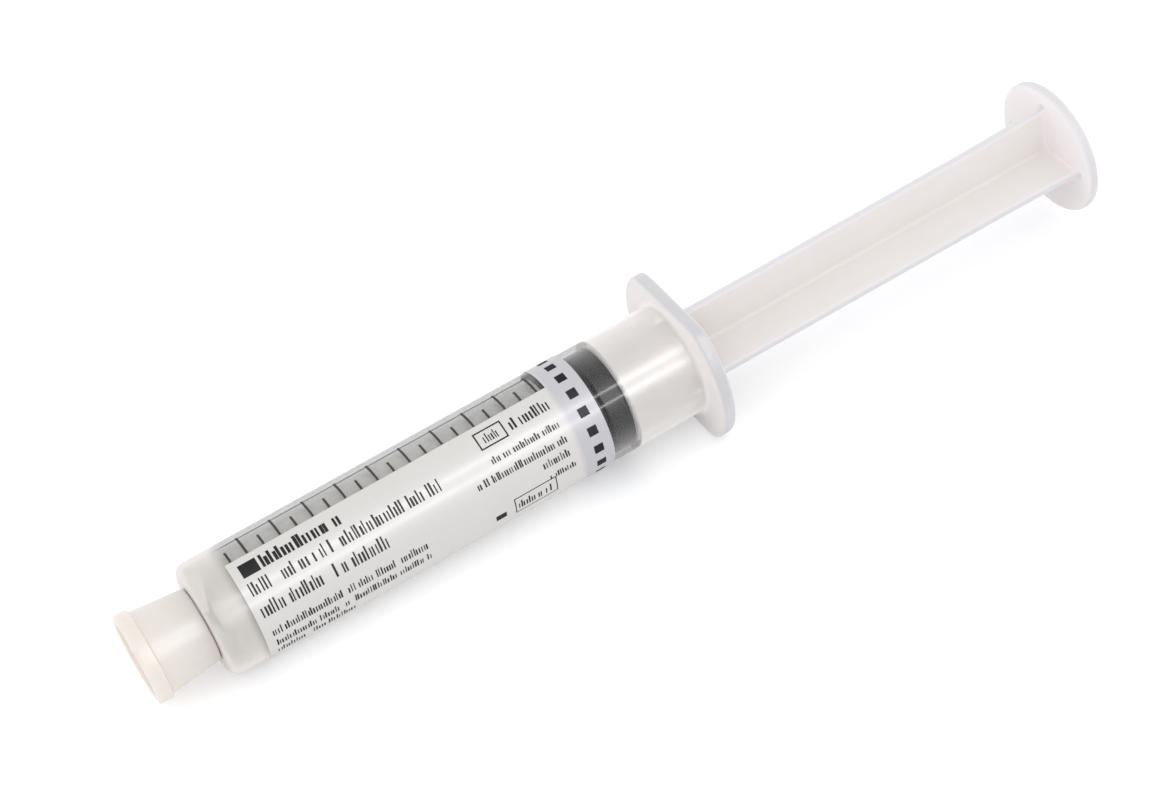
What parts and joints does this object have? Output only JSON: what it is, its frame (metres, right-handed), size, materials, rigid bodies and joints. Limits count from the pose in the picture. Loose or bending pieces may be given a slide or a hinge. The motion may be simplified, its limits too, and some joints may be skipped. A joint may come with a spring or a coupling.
{
  "type": "pre-filled flush syringe",
  "caption": "Capped syringe pre-filled with saline for flushing a line: clear barrel with a lock-collar tip and finger flange, printed label, rubber stopper and cross-ribbed plunger rod.",
  "frame": {"origin": "centre of the luer tip's end face, on the syringe's axis", "axes": "+X along the axis towards the thumb pad; +Z the outward normal of one of the finger flange's two flats, so the part lies with the other flat down"},
  "size_m": [0.1586, 0.0266, 0.0216],
  "materials": {
    "clear_barrel": "clear natural polypropylene, smooth and glossy",
    "label_film": "white printed film with a satin face",
    "stopper_rubber": "dark grey siliconised rubber",
    "rod_plastic": "natural white plastic, slightly translucent, satin",
    "cap_plastic": "warm white plastic, satin",
    "saline": "clear water-like liquid"
  },
  "bodies": {
    "barrel": {"barrel": "clear_barrel", "label": "label_film", "saline_fill": "saline"},
    "plunger": {"plunger_rod": "rod_plastic", "stopper": "stopper_rubber"},
    "cap": {"tip_cap": "cap_plastic"}
  },
  "joints": [
    {"name": "plunger_slide", "type": "slide", "parent": "barrel", "child": "plunger", "axis": [1, 0, 0], "range_m": [-0.0528, 0.0093], "deforming": ["saline_fill"]},
    {"name": "tip_cap_slide", "type": "slide", "parent": "barrel", "child": "cap", "axis": [-1, 0, 0], "range_m": [0, 0.02]}
  ]
}
